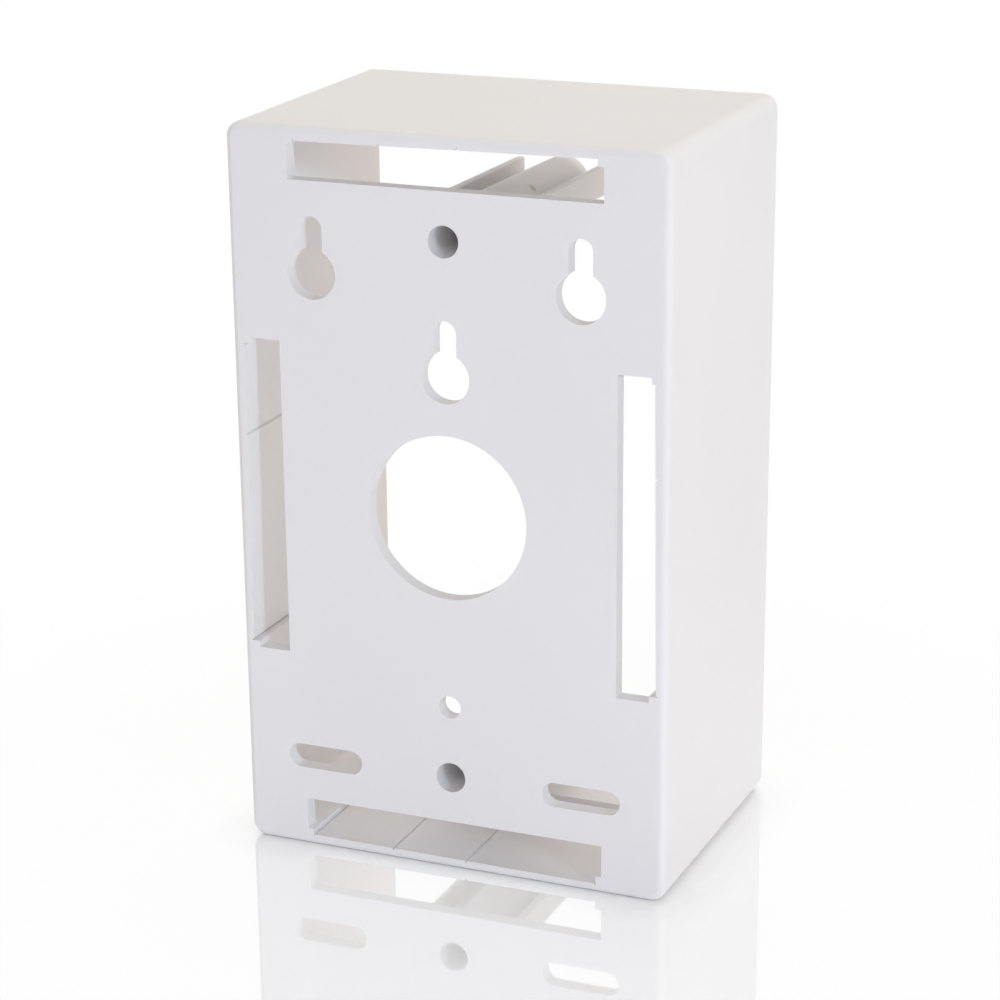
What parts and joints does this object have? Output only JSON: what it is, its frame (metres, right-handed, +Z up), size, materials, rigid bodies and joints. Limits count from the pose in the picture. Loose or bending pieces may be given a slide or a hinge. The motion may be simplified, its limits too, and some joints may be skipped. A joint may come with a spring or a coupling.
{
  "type": "surface wall box",
  "caption": "Open-front surface wall box for a single-gang faceplate, with screw towers, a cable hole, keyholes and breakout panels along its walls.",
  "frame": {"origin": "bottom centre of the box, on the surface that it stands on", "axes": "+Z up the long side of the box, +Y out of the back plate towards the wall, -Y out of the open front, +X across"},
  "size_m": [0.0698, 0.0474, 0.1144],
  "materials": {
    "moulding": "white moulded plastic, satin outside, finely textured"
  },
  "bodies": {
    "root": {"wall_box": "moulding"}
  },
  "joints": []
}
